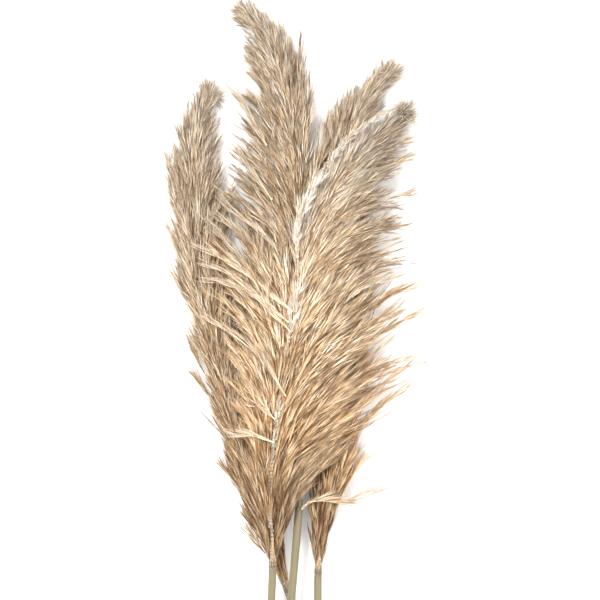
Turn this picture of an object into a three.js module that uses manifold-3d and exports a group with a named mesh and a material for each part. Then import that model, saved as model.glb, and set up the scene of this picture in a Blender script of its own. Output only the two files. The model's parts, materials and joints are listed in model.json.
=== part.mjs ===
// A loose bundle of four cut and dried pampas grass heads, lying on a flat surface.
// Millimetres. +X is to the right, +Y runs from the cut stems to the tips, +Z is up off the surface.
// Each head is one plume on one bare stem. The stems cross low down, as they do in the hand.
// Three heads lie on the surface side by side and the fourth lies over them.
import * as THREE from "three";
import { mergeVertices } from "three/addons/utils/BufferGeometryUtils.js";
import Module from "manifold-3d";

const stemRadius = 4.3; // where the plume begins
const stemRadiusCut = 4.7; // at the cut end
const stemSides = 8;
const jointSwell = 0.7; // how far a joint of the stem stands out
const jointShares = [0.32, 0.72]; // where along the stem its joints are
const jointHalf = 5; // half the length of a joint
const stemRoom = 5.7; // the half width that a bare stem takes, its joints included
const seatGap = 0.3; // between a stem's top and its plume

const coreSides = 6;
const coreSteps = 14;
const coreTip = 0.9; // its radius at the plume's tip
const coreShare = 0.34; // how far the packed middle of a plume fills it ...
const coreMost = 11; // ... up to this half width

const branchSides = 3;
const branchWide = 6; // half the width of a branch where its florets are fullest
const branchFlat = 0.36; // its thickness, as a share of its width
const branchTurn = 0.7; // how far a branch may be turned over, in radians
const branchRoom = 0.36; // the height that it takes up and down, as a share of its width
const branchStations = [0, 0.36, 0.8, 1];
const branchShape = [0.3, 0.8, 1, 0]; // its width at the stations
const branchSweep = 0.4; // how much further along a branch runs for each step it reaches sideways
const branchSpread = 0.75; // below 1, more of the tips fall near the plume's outline
const acrossStep = 0.75488; // steps that, counted on and on, fill a square evenly with tips
const overStep = 0.56984;
const bendAcross = 1.3; // above 1, a branch bends outwards as it goes
const bendOver = 1.2;
const topWide = 0.6; // the width of the last branches, as a share of the first ones'
const lastFoot = 0.985; // where the last branch leaves the axis, as a share of the plume's length
const footSpread = 0.92; // below 1, the branches stand closer together towards the tip
const lifts = [-12, -10, -8, -6, -4, -2, 0, 4]; // over the heap's smooth top, tried where a branch lies on it
const skirt = 15; // room that the loose outer branches of a head take, over what they lie on
const skirtReach = 1.5; // how far out that room goes, in half widths
const sagAt = 100; // a branch that reaches this far sideways ...
const sagBy = 16; // ... hangs this far at its tip
const tipPast = 8; // how far the last branches run past the end of the axis
const reachSpread = 0.15; // how much longer or shorter than the rule a branch may be
const simplifyBy = 0.03; // how far the fused plume's corners may move

const stations = [0, 0.1, 0.25, 0.45, 0.65, 0.8, 0.92, 1]; // shares of a plume's length
const reaches = [118, 112, 104, 96, 84, 66, 46, 26]; // how far a branch runs along the plume

// cut: the stem's lower end. spine: the axis from the plume's base to its tip.
// left, right and deep are the plume's half widths at the stations above.
// leftReach: how far the outermost branches on the left run along, as a share of what others do.
// leftFeet and rim: a branch from above this share of the plume's length reaches left by the rim at most.
const heads = [
  {
    name: "left",
    seed: 11,
    branches: 74,
    cut: [91, -335, 4.8],
    spine: [
      [-14, 9, 9], [-46, 99, 14], [-81, 225, 20], [-107, 341, 21],
      [-118, 440, 20], [-113, 519, 16], [-95, 568, 9],
    ],
    left: [5, 17, 22, 26, 40, 43, 31, 9],
    right: [5, 20, 38, 50, 52, 46, 36, 9],
    deep: [5, 11, 18, 24, 24, 19, 12, 4],
    leftReach: 1,
    leftFeet: 1,
    rim: 0,
  },
  {
    name: "rear",
    seed: 23,
    branches: 72,
    cut: [38, -357, 4.8],
    spine: [
      [20, 31, 22], [29, 110, 21], [37, 210, 21], [40, 374, 20],
      [44, 465, 18], [60, 530, 14], [106, 590, 8],
    ],
    left: [5, 16, 22, 24, 26, 31, 31, 9],
    right: [5, 24, 44, 54, 50, 42, 38, 9],
    deep: [5, 11, 18, 24, 22, 18, 12, 4],
    leftReach: 1,
    leftFeet: 1,
    rim: 0,
  },
  {
    name: "tall",
    seed: 37,
    branches: 84,
    cut: [-42, -335, 4.8],
    spine: [
      [-1, 104, 31], [3, 200, 24], [4, 340, 21], [-2, 470, 20],
      [-18, 570, 16], [-36, 618, 12], [-68, 656, 8],
    ],
    left: [5, 26, 68, 122, 98, 72, 46, 8],
    right: [5, 19, 28, 30, 34, 40, 36, 8],
    deep: [5, 13, 20, 25, 24, 19, 12, 4],
    leftReach: 0.75,
    leftFeet: 1,
    rim: 0,
  },
  {
    name: "front",
    seed: 53,
    branches: 132,
    cut: [-57, -346, 4.8],
    spine: [
      [-30, 41, 42], [-33, 116, 45], [-24, 207, 52], [-10, 300, 57],
      [9, 396, 55], [50, 474, 42], [121, 545, 14],
    ],
    left: [5, 28, 56, 96, 122, 24, 20, 7],
    right: [5, 32, 86, 136, 158, 130, 68, 9],
    deep: [6, 14, 22, 27, 25, 20, 13, 4],
    leftReach: 0.55,
    leftFeet: 0.5,
    rim: 20,
  },
];

const up = new THREE.Vector3(0, 0, 1);
const { lerp } = THREE.MathUtils;

const wasm = await Module();
wasm.setup();

// A number from 0 to 1 each time it is called, the same run after run.
function seededDraw(seed) {
  let state = seed;
  return () => {
    state = (state + 0x6d2b79f5) | 0;
    let mixed = Math.imul(state ^ (state >>> 15), 1 | state);
    mixed = (mixed + Math.imul(mixed ^ (mixed >>> 7), 61 | mixed)) ^ mixed;
    return ((mixed ^ (mixed >>> 14)) >>> 0) / 4294967296;
  };
}

// The value at share of a list that is given at the stations.
function atStation(values, share) {
  const place = THREE.MathUtils.clamp(share, 0, 1);
  let k = 0;
  while (k < stations.length - 2 && place > stations[k + 1]) k += 1;
  const within = (place - stations[k]) / (stations[k + 1] - stations[k]);
  const eased = (2 * within + THREE.MathUtils.smoothstep(within, 0, 1)) / 3;
  return lerp(values[k], values[k + 1], eased);
}

// The line of one head, from its cut end to its tip, read by the distance from the plume's base:
// below zero on the stem, and straight on past the tip.
class HeadLine {
  constructor(head) {
    const points = [head.cut, ...head.spine].map((p) => new THREE.Vector3(...p));
    const curve = new THREE.CatmullRomCurve3(points, false, "centripetal");
    const perSpan = 60;
    const lengths = curve.getLengths(perSpan * (points.length - 1));
    curve.arcLengthDivisions = perSpan * (points.length - 1);
    this.curve = curve;
    this.total = lengths[lengths.length - 1];
    this.stemLength = lengths[perSpan];
    this.length = this.total - this.stemLength;
    this.marks = Array.from({ length: 201 }, (_, i) => {
      const s = -this.stemLength + (this.total * i) / 200;
      return { s, ...this.at(s) };
    });
  }

  at(s) {
    const u = THREE.MathUtils.clamp((s + this.stemLength) / this.total, 0, 1);
    const point = this.curve.getPointAt(u);
    const along = this.curve.getTangentAt(u);
    if (s > this.length) point.addScaledVector(along, s - this.length);
    const side = along.clone().cross(up).normalize();
    return { point, along, side, over: side.clone().cross(along) };
  }

  // The mark nearest to a place on the surface, and how far to its side that place is.
  nearest(x, y) {
    let best = null;
    let least = Infinity;
    for (const mark of this.marks) {
      const gap = (mark.point.x - x) ** 2 + (mark.point.y - y) ** 2;
      if (gap < least) [best, least] = [mark, gap];
    }
    const across = (x - best.point.x) * best.side.x + (y - best.point.y) * best.side.y;
    return { mark: best, across, away: Math.sqrt(least) };
  }
}

// The half width of a head on one side, and its half depth.
function halfWidth(head, s, across) {
  if (s < 0) return stemRoom;
  return atStation(across < 0 ? head.left : head.right, s / head.line.length);
}

function halfDepth(head, s) {
  return s < 0 ? stemRoom : atStation(head.deep, s / head.line.length);
}

// The highest that a branch of this head may go at a place, over the heads laid before it.
function roof(head, x, y, below) {
  const { mark, across, away } = head.line.nearest(x, y);
  const share = away / halfWidth(head, mark.s, across);
  if (share > skirtReach) return below;
  const dome = share < 1 ? mark.point.z + halfDepth(head, mark.s) * Math.sqrt(1 - share * share) : 0;
  return Math.max(dome, mark.s < 0 ? below : below + skirt);
}

// The top of what lies at a place already.
function heapTop(laid, x, y) {
  return laid.reduce((below, head) => roof(head, x, y, below), 0);
}

// Frames for a section that faces one way, at each place on a line, made thinner that way by flat.
function frames(places, facing, flat = 1) {
  return places.map((place, k) => {
    const ahead = places[Math.min(k + 1, places.length - 1)];
    const behind = places[Math.max(k - 1, 0)];
    const along = ahead.clone().sub(behind).normalize();
    const first = facing.clone().addScaledVector(along, -along.dot(facing)).normalize();
    return { place, first, second: first.clone().cross(along), plus: flat, minus: flat, thick: 1 };
  });
}

// A round blank of that outline, with each of its levels moved into a frame. The frame's plus and minus
// stretch the two halves of its first direction, and its thick stretches the second.
function alongLine(outline, sides, levels) {
  const blank = new THREE.LatheGeometry(outline.map(([r, level]) => new THREE.Vector2(r, level)), sides);
  const position = blank.getAttribute("position");
  for (let i = 0; i < position.count; i += 1) {
    const { place, first, second, plus, minus, thick } = levels[Math.round(position.getY(i))];
    const x = position.getX(i);
    const moved = place.clone().addScaledVector(first, x * (x > 0 ? plus : minus));
    moved.addScaledVector(second, position.getZ(i) * thick);
    position.setXYZ(i, moved.x, moved.y, moved.z);
  }
  return blank;
}

// The closed solid of a geometry, with shared corners merged and folded faces dropped.
function solidOf(geometry) {
  const bare = new THREE.BufferGeometry().setAttribute("position", geometry.getAttribute("position"));
  const merged = mergeVertices(bare.setIndex(geometry.getIndex()), 1e-3);
  const corners = merged.getIndex().array;
  const kept = [];
  for (let i = 0; i < corners.length; i += 3) {
    const [a, b, c] = corners.slice(i, i + 3);
    if (a !== b && b !== c && a !== c) kept.push(a, b, c);
  }
  return new wasm.Manifold(
    new wasm.Mesh({
      numProp: 3,
      vertProperties: new Float32Array(merged.getAttribute("position").array),
      triVerts: new Uint32Array(kept),
    }),
  );
}

function geometryOf(solid) {
  const mesh = solid.getMesh();
  const geometry = new THREE.BufferGeometry();
  geometry.setAttribute("position", new THREE.BufferAttribute(mesh.vertProperties, 3));
  geometry.setIndex(new THREE.BufferAttribute(mesh.triVerts, 1));
  geometry.computeVertexNormals();
  return geometry;
}

// The outer skin of the largest body, so that a hollow sealed between branches is filled.
function outerBody(solid) {
  return solid.decompose().reduce((largest, body) => (body.volume() > largest.volume() ? body : largest));
}

// The bare stem: round, a little thicker at the cut, with its joints standing out.
function stemSolid(head) {
  const { stemLength } = head.line;
  const shares = [0, 0.16, 0.5, 0.86, 1];
  for (const joint of jointShares) {
    shares.push(joint - jointHalf / stemLength, joint, joint + jointHalf / stemLength);
  }
  shares.sort((a, b) => a - b);
  const outline = [[0, 0]];
  const places = [];
  shares.forEach((share, level) => {
    const swell = jointShares.includes(share) ? jointSwell : 0;
    outline.push([lerp(stemRadiusCut, stemRadius, share) + swell, level]);
    places.push(head.line.at(-stemLength + share * (stemLength - seatGap)).point);
  });
  outline.push([0, shares.length - 1]);
  return solidOf(alongLine(outline, stemSides, frames(places, up)));
}

// The packed middle of a plume: its axis with the feet of its branches, which the branches stand out of.
function coreSolid(head) {
  const outline = [[0, 0]];
  const levels = [];
  for (let level = 0; level <= coreSteps; level += 1) {
    const share = level / coreSteps;
    const least = lerp(stemRadius, coreTip, share);
    const size = (half) => Math.max(Math.min(coreShare * atStation(half, share), coreMost), least);
    const { point, side, over } = head.line.at(share * head.line.length);
    outline.push([1, level]);
    levels.push({
      place: point,
      first: side,
      second: over,
      plus: size(head.right),
      minus: size(head.left),
      thick: size(head.deep),
    });
  }
  outline.push([0, coreSteps]);
  return solidOf(alongLine(outline, coreSides, levels));
}

// Where a branch leaves the axis and where its tip is: along, across and over the plume's axis.
function branchEnds(head, i, longer) {
  const { length } = head.line;
  const share = (i + 0.5) / head.branches;
  const foot = lastFoot * share ** footSpread;
  const even = ((i * acrossStep) % 1) * 2 - 1;
  const outer = Math.sign(even) * Math.abs(even) ** branchSpread;
  const shortened = lerp(1, head.leftReach, Math.max(-outer, 0));
  const reach = atStation(reaches, foot) * (1 + (longer * 2 - 1) * reachSpread) * shortened;
  const swept = branchSweep * Math.abs(outer) * atStation(outer < 0 ? head.left : head.right, foot);
  const tip = Math.min(foot * length + reach + swept, length + tipPast);
  const most = foot > head.leftFeet ? head.rim : Infinity;
  const left = Math.min(atStation(head.left, tip / length), most);
  const right = atStation(head.right, tip / length);
  const deep = atStation(head.deep, tip / length);
  const across = lerp(-left, right, (outer + 1) / 2);
  const width = across < 0 ? left : right;
  const over = deep * Math.sqrt(1 - (across / width) ** 2) * (((i * overStep) % 1) * 2 - 1);
  const facing = { side: across / width ** 2, over: over / deep ** 2 };
  return { foot: foot * length, tip, across, over, facing, wide: branchWide * lerp(1, topWide, foot ** 3) };
}

// One branch: it leaves the axis almost along it and bends outwards, swept towards the plume's tip.
function branchSolid(head, laid, ends, turned, lift) {
  const { line } = head;
  const { foot, tip, across, over, wide } = ends;
  const sag = sagBy * (Math.abs(across) / sagAt) ** 1.5;
  const places = branchStations.map((u, k) => {
    const { point, side, over: top } = line.at(lerp(foot, tip, u));
    point.addScaledVector(side, across * u ** bendAcross).addScaledVector(top, over * u ** bendOver);
    point.z -= sag * u ** 2;
    const below = heapTop(laid, point.x, point.y);
    const room = wide * branchRoom * branchShape[k];
    const floor = room + (below > 0 ? below + lift : 0);
    const ceiling = roof(head, point.x, point.y, below) - room;
    if (k > 0) point.z = Math.max(Math.min(point.z, ceiling), floor);
    return point;
  });
  const middle = line.at((foot + tip) / 2);
  const facing = middle.side.multiplyScalar(ends.facing.side).addScaledVector(middle.over, ends.facing.over);
  facing.applyAxisAngle(middle.along, (turned * 2 - 1) * branchTurn);
  const outline = [[0, 0], ...branchShape.map((share, k) => [share * wide, k])];
  const branch = solidOf(alongLine(outline, branchSides, frames(places, facing, branchFlat)));
  return branch.translate(0, 0, Math.max(0, -branch.boundingBox().min[2]));
}

// A plume: its core with its branches fused to it. A branch that lies on another head is let down as far
// as it stays clear of it, and one that finds no room is left out.
function plumeSolid(head, laid, others) {
  const draw = seededDraw(head.seed);
  const pieces = [coreSolid(head)];
  for (let i = 0; i < head.branches; i += 1) {
    const ends = branchEnds(head, i, draw());
    const turned = draw();
    for (const lift of lifts) {
      const branch = branchSolid(head, laid, ends, turned, lift);
      if (others.every((other) => branch.minGap(other, seatGap) >= seatGap)) {
        pieces.push(branch);
        break;
      }
    }
  }
  return outerBody(wasm.Manifold.union(pieces).simplify(simplifyBy));
}

const straw = new THREE.MeshStandardMaterial({ color: "#b5ab83", roughness: 0.55, metalness: 0 });
const floss = new THREE.MeshStandardMaterial({ color: "#c6a985", roughness: 0.85, metalness: 0 });

const bundle = new THREE.Group();
bundle.name = "pampas_bundle";

function addNode(name, solid, material) {
  const mesh = new THREE.Mesh(geometryOf(solid), material);
  mesh.name = name;
  bundle.add(mesh);
}

const others = [];
for (const head of heads) {
  head.line = new HeadLine(head);
  const stem = stemSolid(head);
  others.push(stem);
  addNode(`stem_${head.name}`, stem, straw);
}
heads.forEach((head, k) => {
  const stems = others.filter((_, n) => n !== k);
  const plume = plumeSolid(head, heads.slice(0, k), stems);
  others.push(plume);
  addNode(`plume_${head.name}`, plume, floss);
});

// The origin is on the surface, under the middle of the bundle's box.
const extent = new THREE.Box3().setFromObject(bundle);
const middle = extent.getCenter(new THREE.Vector3());
bundle.position.set(-middle.x, -middle.y, -extent.min.z);

export default bundle;
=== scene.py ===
# A loose bundle of four dried pampas grass heads, laid on a pale surface and seen from above.
# Lengths are in millimetres until a mesh is made from them. Meshes are in metres.
import json
import math

import bpy
import numpy as np
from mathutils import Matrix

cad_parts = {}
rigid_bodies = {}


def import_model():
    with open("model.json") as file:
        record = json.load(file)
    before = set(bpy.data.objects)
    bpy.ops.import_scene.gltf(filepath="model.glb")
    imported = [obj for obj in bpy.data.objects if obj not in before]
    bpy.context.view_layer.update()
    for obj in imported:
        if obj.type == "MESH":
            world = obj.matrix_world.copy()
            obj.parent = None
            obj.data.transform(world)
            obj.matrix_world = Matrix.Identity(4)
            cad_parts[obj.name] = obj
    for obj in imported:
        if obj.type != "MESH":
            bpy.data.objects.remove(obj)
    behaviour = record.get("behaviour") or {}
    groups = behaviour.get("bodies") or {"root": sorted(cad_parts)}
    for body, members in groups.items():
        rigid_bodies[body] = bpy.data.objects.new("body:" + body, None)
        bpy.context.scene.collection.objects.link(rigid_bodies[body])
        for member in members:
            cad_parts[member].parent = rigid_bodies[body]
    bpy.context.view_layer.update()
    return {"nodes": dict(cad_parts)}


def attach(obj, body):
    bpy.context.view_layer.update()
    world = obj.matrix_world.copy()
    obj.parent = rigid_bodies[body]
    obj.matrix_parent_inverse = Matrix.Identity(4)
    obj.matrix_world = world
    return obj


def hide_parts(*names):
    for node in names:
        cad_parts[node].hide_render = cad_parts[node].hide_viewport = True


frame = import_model()
mm = 0.001

# The form of the bundle. A head's line runs from the cut end of its stem through its spine.
# left, right and deep are the plume's half widths at the stations. light is painted light and shade: how bright
# its floss is there, lifted where other heads shade it and darker low down.
# bare says how far the branches over the axis are laid to its sides, and parts are the plume's pieces.
# From leftFeet up no branch leaves to the left, but for a rim. leftReach shortens the left branches.
# A spread below 1 brings more branches to the edges, and jitter is how much their reach differs.
stations = [0, 0.1, 0.25, 0.45, 0.65, 0.8, 0.92, 1]  # shares of a plume's length
reaches = [118, 112, 104, 96, 84, 66, 46, 26]  # how far a branch runs along the plume there
heads = {
    "left": {
        "seed": 11, "branches": 300, "cut": (91, -335, 4.8),
        "spine": [(-14, 9, 9), (-46, 99, 14), (-81, 225, 20), (-107, 341, 21),
                  (-118, 440, 20), (-113, 519, 16), (-95, 568, 9)],
        "left": [5, 17, 20, 22, 34, 34, 34, 10],
        "right": [5, 20, 38, 50, 53, 48, 28, 3],
        "deep": [5, 11, 18, 24, 24, 19, 12, 4],
        "light": [0.8, 0.66, 0.81, 0.91, 0.9, 0.85, 0.81, 0.8],
        "bare": 0.0, "parts": ["lower", "middle", "upper"],
        "leftFeet": 1, "leftReach": 1, "rim": 0, "spread": 0.75, "jitter": 0.2,
    },
    "rear": {
        "seed": 23, "branches": 290, "cut": (38, -357, 4.8),
        "spine": [(20, 31, 22), (29, 110, 21), (37, 210, 21), (40, 374, 20),
                  (44, 465, 18), (60, 530, 14), (106, 590, 8)],
        "left": [5, 16, 22, 24, 30, 39, 33, 7],
        "right": [5, 18, 31, 50, 50, 39, 23, 5],
        "deep": [5, 11, 18, 24, 22, 18, 12, 4],
        "light": [0.44, 0.74, 1.48, 1.25, 1.02, 0.97, 0.91, 0.86],
        "bare": 0.0, "parts": ["lower", "middle", "upper"],
        "leftFeet": 1, "leftReach": 1, "rim": 0, "spread": 0.75, "jitter": 0.2,
    },
    "tall": {
        "seed": 37, "branches": 330, "cut": (-42, -335, 4.8),
        "spine": [(-1, 104, 31), (3, 200, 24), (4, 340, 21), (-2, 470, 20),
                  (-18, 570, 16), (-36, 618, 12), (-68, 656, 8)],
        "left": [5, 23, 66, 122, 98, 72, 40, 6],
        "right": [5, 19, 28, 31, 38, 42, 37, 8],
        "deep": [5, 13, 20, 25, 24, 19, 12, 4],
        "light": [0.48, 0.58, 0.82, 0.92, 0.94, 0.83, 0.77, 0.75],
        "bare": 0.0, "parts": ["lower", "middle", "upper"],
        "leftFeet": 1, "leftReach": 0.75, "rim": 0, "spread": 0.95, "jitter": 0.28,
    },
    "front": {
        "seed": 53, "branches": 500, "cut": (-57, -346, 4.8),
        "spine": [(-30, 41, 42), (-33, 116, 45), (-24, 207, 52), (-10, 300, 57),
                  (9, 396, 55), (50, 474, 42), (121, 545, 14)],
        "left": [5, 23, 51, 92, 118, 24, 17, 6],
        "right": [5, 32, 96, 160, 140, 94, 39, 6],
        "deep": [6, 14, 22, 27, 25, 20, 13, 4],
        "light": [0.5, 0.7, 1.15, 1.2, 1.08, 0.85, 0.76, 0.74],
        "bare": 0.7, "parts": ["base", "lower", "middle", "upper", "crest"],
        "leftFeet": 0.5, "leftReach": 0.55, "rim": 20, "spread": 0.95, "jitter": 0.36,
    },
}


def addNode(tree, kind, inputs=None, stops=(), **settings):
    # inputs go by a socket's name or place, and take a value, a socket or a node. Stops fill a colour ramp.
    node = tree.nodes.new(kind)
    for name, value in settings.items():
        setattr(node, name, value)
    band = node.color_ramp.elements if stops else []
    while len(band) < len(stops):
        band.new(0.5)
    for element, (at, colour) in zip(band, stops):
        element.position = at
        element.color = linear(colour)
    shown = [socket for socket in node.inputs if socket.enabled]
    for key, value in (inputs or {}).items():
        socket = shown[key] if isinstance(key, int) else next(s for s in shown if s.name == key)
        if isinstance(value, (bpy.types.Node, bpy.types.NodeSocket)):
            tree.links.new(out(value), socket)
        else:
            socket.default_value = value
    return node


def out(node, name=None):
    # the output of that name, else the first one
    if isinstance(node, bpy.types.NodeSocket):
        return node
    return next(s for s in node.outputs if s.enabled and name in (None, s.name))


def between(value, low, high):
    # how far a value has come from low to high, kept from 0 to 1
    return np.clip((value - low) / (high - low), 0, 1)


def hump(x):
    return np.exp(-(x**2))


def atStation(values, share):
    share = np.clip(share, 0, 1)
    k = np.clip(np.searchsorted(stations, share, side="left") - 1, 0, len(stations) - 2)
    within = between(share, np.take(stations, k), np.take(stations, k + 1))
    eased = (2 * within + within * within * (3 - 2 * within)) / 3
    return np.take(values, k) * (1 - eased) + np.take(values, k + 1) * eased


def smoothLine(points, perSpan):
    # the centripetal curve through the points that the solids follow too
    p = np.array(points, float)
    p = np.vstack([2 * p[0] - p[1], p, 2 * p[-1] - p[-2]])
    t = np.linspace(0, 1, perSpan, endpoint=False)[:, None]
    line = []
    for a, b, c, d in zip(p, p[1:], p[2:], p[3:]):
        ab, bc, cd = (math.sqrt(np.linalg.norm(v)) for v in (b - a, c - b, d - c))
        leave = ((b - a) / ab - (c - a) / (ab + bc) + (c - b) / bc) * bc
        arrive = ((c - b) / bc - (d - b) / (bc + cd) + (d - c) / cd) * bc
        line.append(b + leave * t + (3 * (c - b) - 2 * leave - arrive) * t**2
                    + (2 * (b - c) + leave + arrive) * t**3)
    return np.vstack([*line, p[-2:-1]])


def runAlong(path):
    # the distance from the start at each point of a path
    return np.concatenate([[0], np.cumsum(np.linalg.norm(np.diff(path, axis=0), axis=1))])


def readAlong(places, rows, s):
    return np.stack([np.interp(s, places, rows[:, k]) for k in range(3)], -1)


headSpan, headMarks = 60, 201  # steps in each span of a head's line, and places on it for the heap's rule


class HeadLine:
    # one head's line, read by the distance from the plume's base: below zero on the stem
    def __init__(self, head):
        self.path = smoothLine([head["cut"], *head["spine"]], headSpan)
        run = runAlong(self.path)
        self.stemLength = run[headSpan]
        self.places = run - self.stemLength
        self.length = self.places[-1]
        self.tangents = np.gradient(self.path, self.places, axis=0)
        self.marks = np.linspace(-self.stemLength, self.length, headMarks)
        self.markPoints, _, self.markSides, _ = self.at(self.marks)

    def at(self, s):
        # the point there, the way ahead, to the right and up
        s = np.asarray(s, float)
        ahead = readAlong(self.places, self.tangents, s)
        ahead /= np.linalg.norm(ahead, axis=-1, keepdims=True)
        point = readAlong(self.places, self.path, s) + ahead * np.clip(s - self.length, 0, None)[..., None]
        side = np.cross(ahead, [0.0, 0.0, 1.0])
        side /= np.linalg.norm(side, axis=-1, keepdims=True)
        return point, ahead, side, np.cross(side, ahead)


# How the heads lie on each other: each keeps under its own roof, over the heads laid before it
heap = {
    "stemRoom": 5.7,  # half the room of a stem
    "skirt": 15, "skirtReach": 1.5,  # how high and wide the loose edge of a plume may lie on what is below
    "sink": 5,  # how far branches sink into the plume below
    "floor": 1.2,  # height of the lowest branches over the surface
    "free": 0.15,  # the first share of each branch, which stays where it grows
}


def roof(head, xy, below):
    line = head["line"]
    away = xy[:, None, :] - line.markPoints[None, :, :2]
    nearest = (away**2).sum(-1).argmin(1)
    gap = away[np.arange(len(xy)), nearest]
    s = line.marks[nearest]
    across = (gap * line.markSides[nearest, :2]).sum(-1)
    share = s / line.length
    width = np.where(across < 0, atStation(head["left"], share), atStation(head["right"], share))
    width = np.where(s < 0, heap["stemRoom"], width)
    deep = np.where(s < 0, heap["stemRoom"], atStation(head["deep"], share))
    edge = np.linalg.norm(gap, axis=-1) / width
    dome = line.markPoints[nearest, 2] + deep * np.sqrt(np.clip(1 - edge**2, 0, 1))
    dome = np.where(edge < 1, dome, 0)
    top = np.maximum(dome, np.where(s < 0, below, below + heap["skirt"]))
    return np.where(edge > heap["skirtReach"], below, top)


def heapTop(laid, xy):
    below = np.zeros(len(xy))
    for head in laid:
        below = roof(head, xy, below)
    return below


# The plume's axis: as thick as the stem at its base, soon thin
axis = {
    "stemPart": 2.4, "stemFade": 12, "base": 1.2, "tip": 0.3, "steps": 160, "sides": 12,
    "ringEvery": 46, "ringLong": 0.07, "ringHigh": 0.3, "ringDark": 0.35,  # rings where whorls of branches grow
    "worn": 0.8, "wornFade": 22,  # a worn dark band where the plume starts
}


def axisRadius(line, s):
    fromStem = axis["stemPart"] * np.exp(-np.clip(s, 0, None) / axis["stemFade"])
    return axis["tip"] + axis["base"] * (1 - between(s, 0, line.length)) + fromStem


# One branch after another up the plume, with its tip somewhere across the plume's width and depth.
# Side twigs leave each branch and run beside it.
branch = {
    "points": 12, "lastFoot": 0.985, "footSpread": 1.12,  # a spread above 1 sets more feet low down
    "rootOut": 0.8,  # where a branch starts, as a share of the axis's radius
    "sweep": 0.4,  # how much further up the plume the outer branches end
    "acrossStep": 0.75488, "overStep": 0.56984,  # steps that spread the tips evenly over width and depth
    "bendAcross": 1.3, "bendOver": 1.2,  # above 1 a branch leaves the axis late
    "hug": 0.55,  # how much sooner the branches of a tight side come out to its outline
    # where on the plume that starts and ends, and over what widths it fades
    "hugFrom": (0.3, 0.6), "hugTo": (0.67, 0.92), "hugWidths": (30, 80),
    "tipRoom": 14, "tipMiddle": 0.4,  # room past the last tips, and the share of it in the middle
    "openTip": 220, "openBy": 0.5,  # how soon the plume opens below them
    "sagAt": 100, "sagBy": 16, "sagPower": 1.5,  # how far an end sags that lies 100 mm out
    "inset": 3,  # florets stand out this far past the branches' ends, to the sides
    "endRoom": 20, "endShare": 0.25,  # kept free at the end for the last florets, in mm and at most as a share
    "endLess": 0.45,  # less of that room up the plume
    "wave": 0.042, "waveRate": 0.7, "waveOver": 0.6,  # waves, as a share of the branch's reach
    "stalkRoot": 0.5, "stalkTip": 0.16,  # radii of the bare stalk
    "bareDrop": 6, "bareFrom": 4, "bareWide": 0.5,  # how branches make room for an axis that lies bare
    "edgeWidth": 20, "edgeMost": 1.2, "rimFrom": (-0.3, -0.8),  # what counts as the fringe and as the rim
    "twigs": 2, "twigPoints": 5, "twigStart": (0.02, 0.5), "twigRun": (0.4, 0.75),
    "twigAway": (3, 9), "twigAwayAt": 120, "twigBend": 1.15, "twigOver": 0.6,
    "twigLoose": 0.7, "twigWidths": (60, 120),  # twigs part further where the plume is wide
    "twigThick": 0.55,
}


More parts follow.
